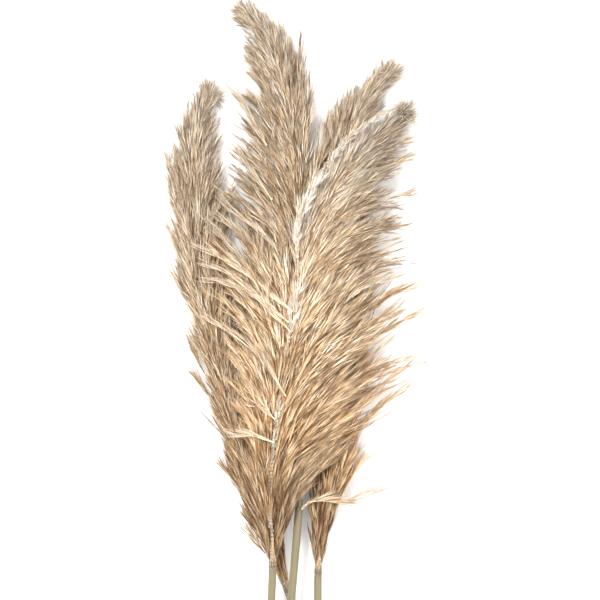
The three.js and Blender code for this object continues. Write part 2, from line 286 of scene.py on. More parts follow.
def branchGuides(head, laid):
    line = head["line"]
    draw = np.random.default_rng(head["seed"])
    count = head["branches"]
    i = np.arange(count)
    foot = branch["lastFoot"] * ((i + 0.5) / count) ** branch["footSpread"]
    even = (i * branch["acrossStep"] % 1) * 2 - 1
    outer = np.sign(even) * np.abs(even) ** head["spread"]
    inner = {k: np.maximum(np.array(head[k]) - branch["inset"], 2) for k in ("left", "right", "deep")}
    side = np.where(outer < 0, atStation(inner["left"], foot), atStation(inner["right"], foot))
    reach = atStation(reaches, foot) * (1 + (draw.random(count) * 2 - 1) * head["jitter"])
    reach *= 1 - (1 - head["leftReach"]) * np.clip(-outer, 0, 1)
    tip = foot * line.length + reach + branch["sweep"] * np.abs(outer) * side
    room = branch["tipRoom"] * (branch["tipMiddle"] + (1 - branch["tipMiddle"]) * np.abs(outer))
    tip = np.minimum(tip, line.length - room)
    left, right, deep = (atStation(inner[k], tip / line.length) for k in ("left", "right", "deep"))
    # near the plume's tip the short branches keep close to the axis
    most = branch["openBy"] * (tip - foot * line.length) + branch["openTip"] * (1 - foot)
    left, right = np.minimum(left, most), np.minimum(right, most)
    # from leftFeet up no branch leaves to the left, but for a narrow rim
    left = np.where(foot > head["leftFeet"], np.minimum(left, head["rim"] - branch["inset"]), left)
    across = -left + (left + right) * (outer + 1) / 2
    width = np.where(across < 0, left, right)
    tight = between(foot, *branch["hugFrom"]) * (1 - between(foot, *branch["hugTo"]))
    bend = branch["bendAcross"] - branch["hug"] * tight * (1 - between(width, *branch["hugWidths"]))
    over = deep * np.sqrt(np.clip(1 - (across / width) ** 2, 0, 1))
    over *= (i * branch["overStep"] % 1) * 2 - 1
    # branches over an axis that lies bare are laid to its sides
    middle = hump(across / (branch["bareWide"] * width))
    over -= head["bare"] * np.clip(over + branch["bareFrom"], 0, None) * middle
    run = np.hypot(tip - foot * line.length, across)
    free = branch["endRoom"] * (1 - branch["endLess"] * (tip / line.length) ** 3)
    last = 1 - np.minimum(free / run, branch["endShare"])
    tone = draw.random(count)
    waves = draw.random((count, 4))

    def follow(k, u):
        # points of the branches k at the shares u of their way, with what the finish reads there
        s = foot[k] * line.length * (1 - u) + tip[k] * u
        point, _, sideways, top = line.at(s)
        start = np.stack([across[k], over[k]], -1)
        start /= np.maximum(np.linalg.norm(start, axis=-1, keepdims=True), 1)
        start *= (axisRadius(line, foot[k] * line.length) * branch["rootOut"] * (1 - u))[..., None]
        turns = [waves[k, n] + u * (branch["waveRate"] + waves[k, n + 1]) for n in (0, 2)]
        swing = [branch["wave"] * run[k] * u * np.sin(2 * np.pi * turn) for turn in turns]
        aside = across[k] * u ** bend[k] + swing[0] + start[..., 0]
        raised = over[k] * u ** branch["bendOver"] + branch["waveOver"] * swing[1] + start[..., 1]
        point = point + sideways * aside[..., None] + top * raised[..., None]
        sag = branch["sagBy"] * (np.abs(across[k]) / branch["sagAt"]) ** branch["sagPower"]
        point[..., 2] -= sag * u**2
        point[..., 2] -= head["bare"] * branch["bareDrop"] * (1 - u) ** 2
        edge = np.clip(np.abs(across[k] / np.maximum(side[k], branch["edgeWidth"])) * u, 0, branch["edgeMost"])
        nearRim = between(across[k] / np.maximum(left[k], 2), *branch["rimFrom"]) * (foot[k] > head["leftFeet"])
        return point, {"rise": s / line.length, "outer": edge, "pale": nearRim}

    def settle(point, u):
        # laid on what is below, and kept under the head's own roof
        flat = point.reshape(-1, 3)
        below = heapTop(laid, flat[:, :2])
        ceiling = roof(head, flat[:, :2], below)
        floor = np.where(below > 0, below - heap["sink"], heap["floor"])
        clear = np.maximum(np.minimum(flat[:, 2], ceiling), floor)
        flat[:, 2] = np.where(np.broadcast_to(u, point.shape[:2]).ravel() > heap["free"], clear, flat[:, 2])
        return flat.reshape(point.shape)

    def finish(point, values, u, t, tone, thick, foot):
        values["tone"] = tone + 0 * u
        values["thick"] = thick * (branch["stalkRoot"] * (1 - t) + branch["stalkTip"] * t) + 0 * u
        values["end"] = t + 0 * u
        dress(values, head)
        return settle(point, u), values, foot

    # the branches
    k = np.repeat(i[:, None], branch["points"], 1)
    t = np.linspace(0, 1, branch["points"])[None, :]
    u = t * last[:, None]
    point, values = follow(k, u)
    branches = finish(point, values, u, t, tone[k], 1, foot)

    # their side twigs
    k = np.repeat(i, branch["twigs"])
    n = len(k)
    begin = draw.uniform(*branch["twigStart"], n)
    end = np.minimum(begin + draw.uniform(*branch["twigRun"], n), 1) * last[k]
    begin = begin * last[k]
    t = np.linspace(0, 1, branch["twigPoints"])[None, :]
    u = begin[:, None] * (1 - t) + end[:, None] * t
    point, values = follow(np.repeat(k[:, None], branch["twigPoints"], 1), u)
    way = draw.uniform(0, 2 * np.pi, n)[:, None, None]
    loose = 1 + branch["twigLoose"] * between(width[k], *branch["twigWidths"]) * np.abs(outer[k])
    far = draw.uniform(*branch["twigAway"], n) * (run[k] / branch["twigAwayAt"]) * loose
    off = (far[:, None] * t ** branch["twigBend"])[..., None]
    _, _, sideways, top = line.at(values["rise"] * line.length)
    point = point + sideways * off * np.cos(way) + top * off * branch["twigOver"] * np.sin(way)
    twigTone = (0.5 * tone[k] + 0.5 * draw.random(n))[:, None]
    return [branches, finish(point, values, u, t, twigTone, branch["twigThick"], foot[k])]


# Long fine hairs low on the plume and full florets higher up: what bloom, width and length lose up the plume,
# at a branch's end, and out in the fringe
dressing = {
    "bloomFrom": (0.22, 0.52), "hairWide": 0.85, "lessUp": 0.3, "lessWideAtEnd": 0.5, "lessLongAtEnd": 0.4,
    "lessBloomOut": 0.7, "lessWideOut": 0.6, "lessLongOut": 0.2,
}


def dress(values, head):
    rise, end = values["rise"], values["end"]
    fringe = np.clip(values["outer"], 0, 1) * end
    values["bloom"] = between(rise, *dressing["bloomFrom"]) * (1 - dressing["lessBloomOut"] * fringe)
    values["wide"] = (1 - dressing["lessUp"] * rise**3) * (1 - dressing["lessWideAtEnd"] * end**3)
    values["wide"] *= dressing["hairWide"] + (1 - dressing["hairWide"]) * values["bloom"]
    values["wide"] *= 1 - dressing["lessWideOut"] * fringe
    values["long"] = (1 - dressing["lessUp"] * rise**3) * (1 - dressing["lessLongAtEnd"] * end**3)
    values["long"] *= 1 - dressing["lessLongOut"] * fringe
    # painted light and shade: the head's brightness for its floss and stalks at this height
    values["light"] = atStation(head["light"], rise)


# Single branches that stand clear of the rest: their way as seen from above, the heights of both ends,
# how far up the plume they belong, which gives their colour, and their tone. The palest are mere hairs.
strays = [
    ("front", [(2, 101), (11, 108), (26, 110), (46, 108), (66, 115), (97, 122)], (46, 20), 0.3, 0.95),
    ("rear", [(46, 124), (55, 147), (68, 165)], (20, 12), 0.2, 0.6),
    ("rear", [(47, 113), (63, 146), (83, 156)], (22, 10), 0.25, 0.7),
    ("front", [(60, 187), (88, 214), (129, 242)], (40, 24), 0.3, 0.8),
    ("front", [(72, 282), (110, 306), (148, 323)], (38, 22), 0.4, 0.7),
    ("front", [(74, 318), (110, 340), (144, 346)], (38, 22), 0.5, 0.6),
    ("front", [(96, 440), (120, 448), (138, 452)], (34, 20), 0.6, 0.6),
    ("front", [(92, 474), (116, 486), (134, 489)], (34, 20), 0.6, 0.5),
    ("front", [(98, 498), (116, 506), (132, 505)], (30, 18), 0.7, 0.6),
    ("front", [(-28, 176), (-44, 181), (-66, 184), (-76, 190)], (66, 58), 0.5, 1.0),
    ("front", [(-27, 201), (-41, 214), (-55, 218)], (68, 62), 0.5, 1.0),
    ("front", [(-15, 226), (-38, 262), (-72, 292), (-103, 312)], (74, 48), 0.5, 0.95),
    ("front", [(-10, 296), (-44, 330), (-78, 348), (-103, 352)], (74, 46), 0.5, 0.95),
    ("front", [(-8, 318), (-50, 352), (-90, 378), (-119, 391)], (74, 42), 0.5, 1.0),
    ("front", [(-12, 306), (-52, 340), (-84, 362), (-109, 372)], (74, 42), 0.5, 1.0),
    ("tall", [(-20, 330), (-56, 366), (-84, 398), (-103, 420)], (60, 40), 0.5, 1.0),
    ("tall", [(-26, 356), (-52, 388), (-76, 412), (-96, 424)], (56, 40), 0.5, 0.95),
    ("tall", [(-18, 380), (-48, 408), (-70, 424), (-88, 446)], (54, 36), 0.5, 1.0),
    ("tall", [(-30, 440), (-52, 470), (-68, 492), (-80, 500)], (44, 30), 0.6, 0.9),
    ("tall", [(-36, 500), (-56, 534), (-70, 556), (-80, 568)], (36, 24), 0.7, 0.9),
    ("rear", [(34, 400), (26, 436), (24, 476)], (30, 18), 0.8, 0.9),
    ("rear", [(38, 430), (31, 462), (31, 508)], (30, 18), 0.8, 0.9),
    ("tall", [(14, 400), (21, 440), (22, 478)], (30, 18), 0.8, 0.9),
    ("left", [(-106, 250), (-118, 274), (-123, 295)], (16, 12), 0.4, 0.5),
    ("left", [(-98, 222), (-112, 242), (-120, 257)], (16, 12), 0.3, 0.5),
    ("left", [(-72, 128), (-82, 142), (-86, 155)], (18, 12), 0.3, 0.5),
    ("front", [(-38, 52), (-50, 68), (-61, 85)], (40, 30), 0.1, 0.5),
]
stray = {
    "steps": 12, "perSpan": 20, "endFree": 0.6,
    "drapeFrom": 3, "drapeOver": 1,  # laid over the plume where its roof is higher than this, by this much
    "strands": (-1, 0.2, 1), "apart": 1.7, "wave": 0.9, "rising": 2, "toneStep": 0.08,  # three side by side
    "outer": 0.8, "wide": 0.85, "thinner": 0.7, "endFrom": 0.4,
    "hairTone": 0.9,  # from this tone up a stray is a mere hair, which changes its look by the values below
    "hairOuter": 0.55, "hairPale": 0.3, "hairThin": 0.3, "hairPlain": 0.8,
}


def strayGuides(name, laid):
    lines, rises, tones, fine = [], [], [], []
    t = np.linspace(0, 1, stray["steps"])
    for plume, course, (high, low), rise, tone in strays:
        if plume != name:
            continue
        path = smoothLine([(x, y, 0) for x, y in course], stray["perSpan"])
        run = runAlong(path)
        line = readAlong(run, path, t * (run[-1] - stray["endFree"] * branch["endRoom"]))
        line[:, 2] = high + (low - high) * t
        top = roof(heads[name], line[:, :2], heapTop(laid, line[:, :2]))
        draped = np.minimum(line[:, 2], top + stray["drapeOver"])
        line[:, 2] = np.where(top > stray["drapeFrom"], draped, line[:, 2])
        whole = path[-1] - path[0]
        beside = np.array([-whole[1], whole[0], stray["rising"]]) / run[-1]
        for side in stray["strands"]:
            apart = side * (stray["apart"] * t**0.8 + stray["wave"] * np.sin(5 * t + 2 * side))
            lines.append(line + beside * apart[:, None])
            rises.append(rise)
            tones.append(tone - stray["toneStep"] * side)
            fine.append(float(tone >= stray["hairTone"]))
    t = np.tile(t, (len(lines), 1))
    rise, tone, hair = (np.array(each)[:, None] + 0 * t for each in (rises, tones, fine))
    values = {"rise": rise, "tone": tone, "outer": stray["outer"] - stray["hairOuter"] * hair,
              "pale": stray["hairPale"] * hair, "thick": branch["stalkRoot"] * (1 - stray["thinner"] * t),
              "end": stray["endFrom"] + (1 - stray["endFrom"]) * t}
    dress(values, heads[name])
    values["wide"] *= stray["wide"] - stray["hairThin"] * hair
    values["bloom"] *= 1 - stray["hairPlain"] * hair
    return np.array(lines), values, np.array(rises)


def newObject(name, data):
    made = bpy.data.objects.new(name, data)
    bpy.context.scene.collection.objects.link(made)
    return made


def guideObject(name, sets):
    # open lines, with a value for each key at each point
    corners, edges, before = [], [], 0
    for lines, _ in sets:
        count, steps = lines.shape[:2]
        index = before + np.arange(count * steps).reshape(count, steps)
        edges.append(np.stack([index[:, :-1], index[:, 1:]], -1).reshape(-1, 2))
        corners.append(lines.reshape(-1, 3))
        before += count * steps
    mesh = bpy.data.meshes.new(name)
    mesh.from_pydata((np.vstack(corners) + shift) * mm, np.vstack(edges).tolist(), [])
    for key in sets[0][1]:
        column = np.concatenate([values[key].ravel() for _, values in sets]).astype(np.float32)
        mesh.attributes.new(key, "FLOAT", "POINT").data.foreach_set("value", column)
    return newObject(name, mesh)


def grown(guide, tree, inputs):
    # runs a tree on a guide and gives the plain mesh that it makes, in the guide's place
    grow = guide.modifiers.new("grow", "NODES")
    grow.node_group = tree
    for item in tree.interface.items_tree:
        if item.item_type == "SOCKET" and item.in_out == "INPUT" and item.name in inputs:
            grow[item.identifier] = inputs[item.name]
    guide.update_tag()
    graph = bpy.context.evaluated_depsgraph_get()
    mesh = bpy.data.meshes.new_from_object(
        guide.evaluated_get(graph), preserve_all_data_layers=True, depsgraph=graph)
    guide.modifiers.clear()
    plain, guide.data = guide.data, mesh
    bpy.data.meshes.remove(plain)
    mesh.name = guide.name
    return guide


def place(piece, node):
    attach(piece, "root")
    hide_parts(node)


# Where the bundle's own origin is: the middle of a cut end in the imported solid, less its named place
def cutEnd(node):
    mesh = frame["nodes"][node].data
    points = np.empty(len(mesh.vertices) * 3, np.float32)
    mesh.vertices.foreach_get("co", points)
    points = np.unique(np.round(points.reshape(-1, 3), 6), axis=0) / mm
    lowest = points[points[:, 1].argmin()]
    return points[np.linalg.norm(points - lowest, axis=1) < 2.1 * stem["cutRadius"]].mean(0)


stem = {
    "radius": 4.3, "cutRadius": 4.7, "sides": 24, "steps": 140, "into": 3,  # how far it runs on into the plume
    "joints": (0.32, 0.72), "swell": 0.7, "swellLong": 4,
    "lastMark": 0.985, "markUp": 4, "markLong": 2.5, "markDark": 0.7,  # dark marks just above the joints
    "pithSides": 16, "pithWide": 0.8, "pithEnds": (-0.25, 1.0),
}
shift = cutEnd("stem_front") - np.array(heads["front"]["cut"])
print("shift", shift.round(2))


def linear(text):
    # an sRGB hex colour as linear numbers
    parts = [int(text[k:k + 2], 16) / 255 for k in (1, 3, 5)]
    return [c / 12.92 if c <= 0.04045 else ((c + 0.055) / 1.055) ** 2.4 for c in parts] + [1.0]


def newMaterial(name, constants, reads=()):
    # a material with constants on its shader's sockets, and the values that it reads from the mesh
    made = bpy.data.materials.new(name)
    made.use_nodes = True
    tree = made.node_tree
    shader = tree.nodes["Principled BSDF"]
    for key, value in constants.items():
        shader.inputs[key].default_value = value
    return made, tree, shader, {
        key: out(addNode(tree, "ShaderNodeAttribute", attribute_name=key), "Fac") for key in reads}


# Dry floss and glumes of the florets. They give the eye most of the plume: beige that is a warm tan low down
# and greyer at the tip, brown shade between the strands, pale single ones, and a soft silky edge.
# Painted shade darkens each strand towards its root, where the strands crowd in the sprig.
flossLook = {
    "byTone": 0.35, "byStrand": 0.65,  # what a strand's shade goes by
    "contrast": 0.9, "contrastLess": 0.24,  # how strong the shades are, and how much less so up the plume
    "rimPale": 0.6,
}


def flossMaterial():
    made, tree, shader, read = newMaterial("pampas floss", {
        "Roughness": 0.6, "Specular IOR Level": 0.3, "Sheen Weight": 0.15, "Sheen Roughness": 0.4,
    }, ("rise", "outer", "pale", "tone", "strand", "tipward", "light"))
    body = addNode(tree, "ShaderNodeValToRGB", {"Fac": read["rise"]}, [
        (0.0, "#bb8850"), (0.22, "#cf9f66"), (0.5, "#dcb98a"), (0.8, "#d8c0a6"), (1.0, "#d6c4b0")])
    tint = addNode(tree, "ShaderNodeValToRGB", {"Fac": read["rise"]}, [
        (0.0, "#fff0dc"), (0.2, "#fff8ec"), (0.4, "#fafbfd"), (0.65, "#f8fbff"), (0.85, "#fafcff")])
    byTone = addNode(tree, "ShaderNodeMath", {0: read["tone"], 1: flossLook["byTone"]}, operation="MULTIPLY")
    byStrand = addNode(tree, "ShaderNodeMath", {0: read["strand"], 1: flossLook["byStrand"]}, operation="MULTIPLY")
    both = addNode(tree, "ShaderNodeMath", {0: byTone, 1: byStrand}, operation="ADD")
    shade = addNode(tree, "ShaderNodeValToRGB", {"Fac": both}, [
        (0.22, "#4c2c0d"), (0.38, "#a07141"), (0.53, "#ddbc90"), (0.68, "#efd9b7"), (0.85, "#fbf1de")])
    fringe = addNode(tree, "ShaderNodeValToRGB", {"Fac": read["outer"]}, [
        (0.0, "#000000"), (0.5, "#202020"), (1.0, "#808080")])
    fringeTone = addNode(tree, "ShaderNodeValToRGB", {"Fac": read["rise"]}, [(0.2, "#f3dbb8"), (0.5, "#e4b383")])
    # painted shade: each strand mixed towards brown near its root, where the strands crowd in the sprig
    root = addNode(tree, "ShaderNodeValToRGB", {"Fac": read["tipward"]}, [(0.0, "#909090"), (0.6, "#000000")])
    rim = addNode(tree, "ShaderNodeMath", {0: read["pale"], 1: flossLook["rimPale"]}, operation="MULTIPLY")
    less = addNode(tree, "ShaderNodeMath", {0: read["rise"], 1: flossLook["contrastLess"]}, operation="MULTIPLY")
    strength = addNode(tree, "ShaderNodeMath", {0: flossLook["contrast"], 1: less}, operation="SUBTRACT")
    colour = body
    # the strands' shades, the tint, the fringe, the pale rim and the painted shade at the roots, one over the
    # other
    for share, over, blend in ((strength, shade, "MIX"), (1.0, tint, "MULTIPLY"), (fringe, fringeTone, "MIX"),
                               (rim, linear("#f6ecdd"), "MIX"), (root, linear("#8c6440"), "MIX")):
        colour = addNode(tree, "ShaderNodeMix", {0: share, 1: colour, 2: over}, data_type="RGBA", blend_type=blend)
    # painted light and shade: the floss colour scaled by light
    lit = addNode(tree, "ShaderNodeVectorMath", {0: colour, "Scale": read["light"]}, operation="SCALE")
    tree.links.new(out(lit), shader.inputs["Base Color"])
    return made


# A strand whose colour goes by one value
def strandMaterial(name, constants, shade, stops):
    made, tree, shader, read = newMaterial(name, constants, (shade, "light"))
    colour = addNode(tree, "ShaderNodeValToRGB", {"Fac": read[shade]}, stops)
    # painted light and shade: the strand's colour scaled by light
    lit = addNode(tree, "ShaderNodeVectorMath", {0: colour, "Scale": read["light"]}, operation="SCALE")
    tree.links.new(out(lit), shader.inputs["Base Color"])
    return made


# Dry cane. It gives the eye a waxy rind with fine lines along it, and darker joints.
def caneMaterial(name, pale, dark, joint):
    made, tree, shader, read = newMaterial(name, {"Roughness": 0.48}, ("along", "turn", "joint"))
    angle = addNode(tree, "ShaderNodeMath", {0: read["turn"], 1: 2 * math.pi}, operation="MULTIPLY")
    where = addNode(tree, "ShaderNodeCombineXYZ", {
        "X": addNode(tree, "ShaderNodeMath", {0: angle}, operation="COSINE"),
        "Y": addNode(tree, "ShaderNodeMath", {0: angle}, operation="SINE"),
        "Z": addNode(tree, "ShaderNodeMath", {0: read["along"], 1: 0.012}, operation="MULTIPLY")})
    lines = out(addNode(tree, "ShaderNodeTexNoise", {"Vector": where, "Scale": 6.0, "Detail": 4.0}), "Fac")
    patches = out(addNode(tree, "ShaderNodeTexNoise", {"Vector": where, "Scale": 1.3, "Detail": 2.0}), "Fac")
    colour = addNode(tree, "ShaderNodeValToRGB", {"Fac": lines}, [(0.3, dark), (0.7, pale)])
    for share, over in ((patches, pale), (read["joint"], joint)):
        colour = addNode(tree, "ShaderNodeMix", {0: share, 1: colour, 2: linear(over)}, data_type="RGBA")
    tree.links.new(out(colour), shader.inputs["Base Color"])
    grain = addNode(tree, "ShaderNodeBump", {"Height": lines, "Strength": 0.25, "Distance": 0.0002})
    tree.links.new(out(grain), shader.inputs["Normal"])
    return made


# Spongy pith. It gives the cut end a pale dull disc with darker specks.
def pithMaterial():
    made, tree, shader, _ = newMaterial("cane pith", {"Roughness": 0.9})
    spots = out(addNode(tree, "ShaderNodeTexNoise", {"Scale": 1800.0, "Detail": 3.0}), "Fac")
    colour = addNode(tree, "ShaderNodeValToRGB", {"Fac": spots}, [(0.35, "#a08a63"), (0.65, "#dccaa4")])
    tree.links.new(out(colour), shader.inputs["Base Color"])
    return made


floss = flossMaterial()
# short silky hairs where branches leave the axis: almost white, they make a bare axis read as a pale line
down = strandMaterial("pale silky hairs", {"Roughness": 0.5, "Sheen Weight": 0.3}, "strand", [
    (0.0, "#c9b08c"), (0.35, "#ecdfca"), (1.0, "#fcf6ec")])
# thin woody stalks, which give the eye tan threads between the florets
stalk = strandMaterial("branch stalk", {"Roughness": 0.55}, "tone", [
    (0.0, "#8a6138"), (0.5, "#bd9563"), (1.0, "#f0ddb8")])
# the stems are dull straw, and the plume's axis is a thinner tan cane
cane = caneMaterial("straw cane", "#7b7155", "#62583e", "#4f3d27")
rachis = caneMaterial("plume axis", "#c8ab80", "#a27f54", "#80603c")
pith = pithMaterial()

# One sprig: a few florets or long hairs along a short twig. The tree strings sprigs along the branches.
# The first kinds are full of florets. The last ones are mostly hairs.
sprig = {
    "kinds": 4, "seed": 5, "length": 15, "strands": 11, "floretLong": (13, 20), "floretWide": (0.3, 0.55),
    "hairLong": (20, 36), "hairWide": (0.22, 0.5), "lean": (3, 17), "hairLean": (0.5, 6),
    "bow": 0.04, "bellyAt": 0.4,  # how far a strand bows, and where it is widest
    "golden": 0.618, "kindStep": 0.382, "loose": 0.1,  # even steps for turns and shades, and what chance adds
    "floor": 0.3,  # no strand dips lower over the surface
}


def sprigVariants():
    kept = bpy.data.collections.new("sprigs")
    draw = np.random.default_rng(sprig["seed"])
    count = sprig["strands"]
    for variant in range(2 * sprig["kinds"]):
        hairy = variant >= sprig["kinds"]
        corners, faces, shades, tips = [], [], [], []
        for k in range(count):
            hair = k % 5 == 4 or (hairy and k % 5 != 1)
            long = draw.uniform(*sprig["hairLong" if hair else "floretLong"])
            wide = draw.uniform(*sprig["hairWide" if hair else "floretWide"])
            lean = math.radians(draw.uniform(*sprig["hairLean" if hairy else "lean"]))
            turn = 2 * math.pi * (k * sprig["golden"] + sprig["loose"] * draw.random())
            start = np.array([0, 0, sprig["length"] * k / count])
            outwards = np.array([math.cos(turn), math.sin(turn), 0])
            ahead = outwards * math.sin(lean) + np.array([0, 0, 1.0]) * math.cos(lean)
            across = np.cross(ahead, outwards)
            across /= np.linalg.norm(across)
            belly = start + long * (sprig["bellyAt"] * ahead + sprig["bow"] * np.cross(across, ahead))
            shade = k * sprig["golden"] + variant * sprig["kindStep"] + sprig["loose"] * draw.random()
            n = len(corners)
            corners += [start, belly + wide * across, belly - wide * across, start + ahead * long]
            faces += [(n, n + 1, n + 2), (n + 3, n + 2, n + 1), (n, n + 2, n + 3), (n, n + 3, n + 1)]
            shades += [shade % 1] * 4
            tips += [0, 0.5, 0.5, 1]
        mesh = bpy.data.meshes.new(f"sprig{variant}")
        mesh.from_pydata([c * mm for c in corners], [], faces)
        for key, values in (("strand", shades), ("tipward", tips)):
            mesh.attributes.new(key, "FLOAT", "POINT").data.foreach_set("value", values)
        kept.objects.link(bpy.data.objects.new(mesh.name, mesh))
    return kept


def newTree(name, sockets, reads):
    # a tree, and what comes into it: its named inputs, and the values that it reads from the guide
    tree = bpy.data.node_groups.new(name, "GeometryNodeTree")
    for title, kind in (("Geometry", "Geometry"), *sockets):
        tree.interface.new_socket(title, in_out="INPUT", socket_type="NodeSocket" + kind)
    tree.interface.new_socket("Geometry", in_out="OUTPUT", socket_type="NodeSocketGeometry")
    given = {socket.name: socket for socket in addNode(tree, "NodeGroupInput").outputs if socket.name}
    for key in reads:
        given[key] = addNode(tree, "GeometryNodeInputNamedAttribute", {"Name": key}, data_type="FLOAT")
    return tree, given


def plumeTree():
    tree, given = newTree("plumeBranches", [
        ("Sprigs", "Collection"), ("Kinds", "Int"), ("Spacing", "Float"), ("Lean", "Float"),
        ("Least Size", "Float"), ("Most Size", "Float"), ("Seed", "Int"), ("Floor", "Float"),
        ("Floss", "Material"), ("Stalk", "Material")], ("wide", "long", "thick", "tone", "bloom"))
    chance = {}
    for step, (key, low, high) in enumerate((
            ("leanX", -1.0, 1.0), ("leanY", -1.0, 1.0), ("turn", 0.0, 2 * math.pi),
            ("bloom", 0.02, 0.98), ("kind", 0.0, 0.999), ("tone", 0.0, 1.0)), 1):
        seed = addNode(tree, "ShaderNodeMath", {0: given["Seed"], 1: float(step)}, operation="ADD")
        inputs = {"Min": low, "Max": high, "Seed": seed}
        chance[key] = addNode(tree, "FunctionNodeRandomValue", inputs, data_type="FLOAT")

    # the bare stalks
    curves = addNode(tree, "GeometryNodeMeshToCurve", {"Mesh": given["Geometry"]})
    circle = addNode(tree, "GeometryNodeCurvePrimitiveCircle", {"Resolution": 3, "Radius": mm}, mode="RADIUS")
    stalks = addNode(tree, "GeometryNodeCurveToMesh", {
        "Curve": curves, "Profile Curve": circle, "Scale": given["thick"], "Fill Caps": True})
    stalks = addNode(tree, "GeometryNodeSetMaterial", {"Geometry": stalks, "Material": given["Stalk"]})

    # the sprigs along them: full ones with the chance that bloom gives, else hairy ones
    inputs = {"Curve": curves, "Length": given["Spacing"]}
    points = addNode(tree, "GeometryNodeCurveToPoints", inputs, mode="LENGTH")
    ahead = addNode(tree, "FunctionNodeAlignRotationToVector", {"Vector": out(points, "Tangent")}, axis="Z")
    turn = addNode(tree, "ShaderNodeCombineXYZ", {
        "X": addNode(tree, "ShaderNodeMath", {0: chance["leanX"], 1: given["Lean"]}, operation="MULTIPLY"),
        "Y": addNode(tree, "ShaderNodeMath", {0: chance["leanY"], 1: given["Lean"]}, operation="MULTIPLY"),
        "Z": chance["turn"]})
    turn = addNode(tree, "FunctionNodeEulerToRotation", {"Euler": turn})
    inputs = {"Rotation": ahead, "Rotate By": turn}
    turned = addNode(tree, "FunctionNodeRotateRotation", inputs, rotation_space="LOCAL")
    hairy = addNode(tree, "ShaderNodeMath", {0: chance["bloom"], 1: given["bloom"]}, operation="GREATER_THAN")
    kind = addNode(tree, "ShaderNodeMath", {0: chance["kind"], 1: given["Kinds"]}, operation="MULTIPLY")
    after = addNode(tree, "ShaderNodeMath", {0: hairy, 1: given["Kinds"]}, operation="MULTIPLY")
    pick = addNode(tree, "ShaderNodeMath", {0: kind, 1: after}, operation="ADD")
    pick = addNode(tree, "ShaderNodeMath", {0: pick}, operation="FLOOR")
    inputs = {"Min": given["Least Size"], "Max": given["Most Size"], "Seed": given["Seed"]}
    size = addNode(tree, "FunctionNodeRandomValue", inputs, data_type="FLOAT")
    wide, long = (addNode(tree, "ShaderNodeMath", {0: size, 1: given[key]}, operation="MULTIPLY")
                  for key in ("wide", "long"))
    size = addNode(tree, "ShaderNodeCombineXYZ", {"X": wide, "Y": wide, "Z": long})
    kinds = addNode(tree, "GeometryNodeCollectionInfo", {
        "Collection": given["Sprigs"], "Separate Children": True, "Reset Children": True})
    placed = addNode(tree, "GeometryNodeInstanceOnPoints", {
        "Points": out(points, "Points"), "Instance": kinds, "Pick Instance": True, "Instance Index": pick,
        "Rotation": turned, "Scale": size})
    tone = addNode(tree, "ShaderNodeMix", {0: 0.5, 1: given["tone"], 2: chance["tone"]}, data_type="FLOAT")
    inputs = {"Geometry": placed, "Name": "tone", "Value": tone}
    toned = addNode(tree, "GeometryNodeStoreNamedAttribute", inputs, data_type="FLOAT", domain="INSTANCE")
    florets = addNode(tree, "GeometryNodeSetMaterial", {"Geometry": toned, "Material": given["Floss"]})

    joined = addNode(tree, "GeometryNodeJoinGeometry")
    for part in (stalks, florets):
        tree.links.new(out(part), joined.inputs["Geometry"])
    real = addNode(tree, "GeometryNodeRealizeInstances", {"Geometry": joined})
    # what would dip under the surface lies on it
    at = addNode(tree, "ShaderNodeSeparateXYZ", {"Vector": addNode(tree, "GeometryNodeInputPosition")})
    high = addNode(tree, "ShaderNodeMath", {0: out(at, "Z"), 1: given["Floor"]}, operation="MAXIMUM")
    to = addNode(tree, "ShaderNodeCombineXYZ", {"X": out(at, "X"), "Y": out(at, "Y"), "Z": high})
    moved = addNode(tree, "GeometryNodeSetPosition", {"Geometry": real, "Position": to})
    smooth = addNode(tree, "GeometryNodeSetShadeSmooth", {"Geometry": moved, "Shade Smooth": True})
    addNode(tree, "NodeGroupOutput", {"Geometry": smooth})
    return tree


def caneTree():
    # a round cane along its guide, with the place along it and round it kept for its finish
    tree, given = newTree("caneAlongLine", [("Sides", "Int"), ("Finish", "Material")], ("thick",))
    curve = addNode(tree, "GeometryNodeMeshToCurve", {"Mesh": given["Geometry"]})
    inputs = {"Resolution": given["Sides"], "Radius": mm}
    circle = addNode(tree, "GeometryNodeCurvePrimitiveCircle", inputs, mode="RADIUS")
    factor = out(addNode(tree, "GeometryNodeSplineParameter"), "Factor")
    inputs = {"Geometry": circle, "Name": "turn", "Value": factor}
    circle = addNode(tree, "GeometryNodeStoreNamedAttribute", inputs, data_type="FLOAT", domain="POINT")
    tube = addNode(tree, "GeometryNodeCurveToMesh", {
        "Curve": curve, "Profile Curve": circle, "Scale": given["thick"], "Fill Caps": True})
    real = addNode(tree, "GeometryNodeRealizeInstances", {"Geometry": tube})
    smooth = addNode(tree, "GeometryNodeSetShadeSmooth", {"Geometry": real, "Shade Smooth": True})
    finished = addNode(tree, "GeometryNodeSetMaterial", {"Geometry": smooth, "Material": given["Finish"]})
    addNode(tree, "NodeGroupOutput", {"Geometry": finished})
    return tree


